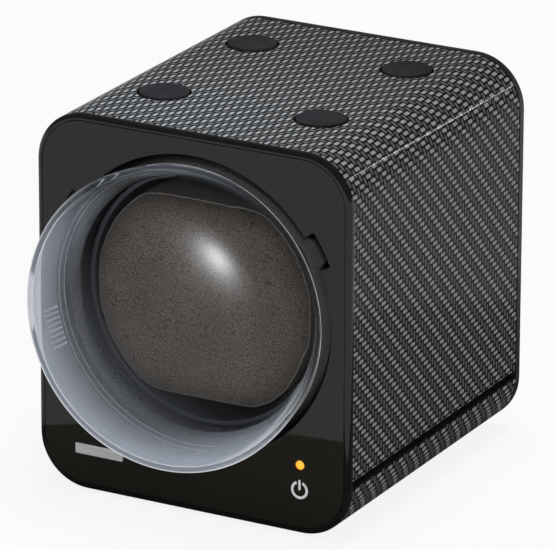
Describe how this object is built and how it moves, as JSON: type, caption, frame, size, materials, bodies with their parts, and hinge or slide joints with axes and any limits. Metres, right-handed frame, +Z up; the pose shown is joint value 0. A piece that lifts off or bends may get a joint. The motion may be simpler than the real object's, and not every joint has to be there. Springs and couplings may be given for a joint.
{
  "type": "watch winder box",
  "caption": "Carbon-look cube that turns a watch on a cushion behind a clear bayonet dome, with a status light, touch field and stacking plugs.",
  "frame": {"origin": "middle of the case's base, on the surface that the feet stand on", "axes": "+Z up, +Y from the dome to the rear cover, +X to the right of someone who faces the dome"},
  "size_m": [0.11, 0.1523, 0.1249],
  "materials": {
    "carbon_film": "printed twill carbon weave under a satin clear film",
    "gloss_black": "high gloss",
    "black_plastic": "fine spark-eroded texture",
    "rubber": "matte, moulded",
    "clear_acrylic": "clear and polished",
    "suede": "fine grained suede-look leather, brown grey",
    "steel": "zinc plated",
    "brass": "turned",
    "nylon": "natural moulded nylon",
    "circuit_board": "green solder mask",
    "silver_plate": "fine brushed, blank",
    "amber_lens": "lit amber lens",
    "white_print": "white screen-printed ink"
  },
  "bodies": {
    "root": {"upper_shell": "carbon_film", "base_tray": "carbon_film", "chassis": "black_plastic", "bezel_upper": "gloss_black", "bezel_lower": "gloss_black", "front_panel": "gloss_black", "nameplate": "silver_plate", "led": "amber_lens", "touch_board": "circuit_board", "bayonet_seat": "black_plastic", "front_bush": "brass", "rear_bush": "brass", "bearing_bracket": "black_plastic", "gear_motor": "steel", "motor_screw_1": "steel", "motor_screw_2": "steel", "control_board": "circuit_board", "control_chip": "black_plastic", "capacitor": "steel", "rear_cover": "black_plastic", "dc_jack": "black_plastic", "direction_switch": "steel", "program_switch": "steel", "rubber_foot_1": "rubber", "rubber_foot_2": "rubber", "rubber_foot_3": "rubber", "rubber_foot_4": "rubber", "rear_screw_1": "steel", "rear_screw_2": "steel", "rear_screw_3": "steel", "rear_screw_4": "steel", "base_screw_1": "steel", "base_screw_2": "steel", "base_screw_3": "steel", "base_screw_4": "steel"},
    "drum": {"watch_cup": "black_plastic", "drum_shaft": "steel", "drum_gear": "nylon", "retaining_clip": "steel"},
    "cushion_pad": {"cushion": "suede", "cushion_back_plate": "black_plastic"},
    "motor_rotor": {"motor_pinion": "brass", "motor_shaft": "steel"},
    "dome_carrier": {"dome_seal": "rubber"},
    "dome": {"dome_ring": "black_plastic", "dome_lens": "clear_acrylic"},
    "plug_1": {"stacking_plug_1": "rubber"},
    "plug_2": {"stacking_plug_2": "rubber"},
    "plug_3": {"stacking_plug_3": "rubber"},
    "plug_4": {"stacking_plug_4": "rubber"},
    "direction_slider": {"direction_knob": "black_plastic"},
    "program_slider": {"program_knob": "black_plastic"}
  },
  "joints": [
    {"name": "drum_spin", "type": "hinge", "parent": "root", "child": "drum", "pos_m": [0, 0, 0.0686], "axis": [0, 1, 0], "continuous": true},
    {"name": "motor_spin", "type": "hinge", "parent": "root", "child": "motor_rotor", "pos_m": [0, 0, 0.0384], "axis": [0, 1, 0], "continuous": true},
    {"name": "cushion_pull", "type": "slide", "parent": "drum", "child": "cushion_pad", "axis": [0, -1, 0], "range_m": [0, 0.025]},
    {"name": "dome_pull", "type": "slide", "parent": "root", "child": "dome_carrier", "axis": [0, -1, 0], "range_m": [0, 0.05]},
    {"name": "dome_twist", "type": "hinge", "parent": "dome_carrier", "child": "dome", "pos_m": [0, 0, 0.0686], "axis": [0, 1, 0], "range_deg": [0, 15]},
    {"name": "plug_lift_1", "type": "slide", "parent": "root", "child": "plug_1", "axis": [0, 0, 1], "range_m": [0, 0.008]},
    {"name": "plug_lift_2", "type": "slide", "parent": "root", "child": "plug_2", "axis": [0, 0, 1], "range_m": [0, 0.008]},
    {"name": "plug_lift_3", "type": "slide", "parent": "root", "child": "plug_3", "axis": [0, 0, 1], "range_m": [0, 0.008]},
    {"name": "plug_lift_4", "type": "slide", "parent": "root", "child": "plug_4", "axis": [0, 0, 1], "range_m": [0, 0.008]},
    {"name": "direction_slide", "type": "slide", "parent": "root", "child": "direction_slider", "axis": [1, 0, 0], "range_m": [-0.002, 0.002]},
    {"name": "program_slide", "type": "slide", "parent": "root", "child": "program_slider", "axis": [1, 0, 0], "range_m": [-0.002, 0.002]}
  ],
  "couplings": [
    {"joint": "motor_spin", "follows": "drum_spin", "ratio": -4}
  ]
}
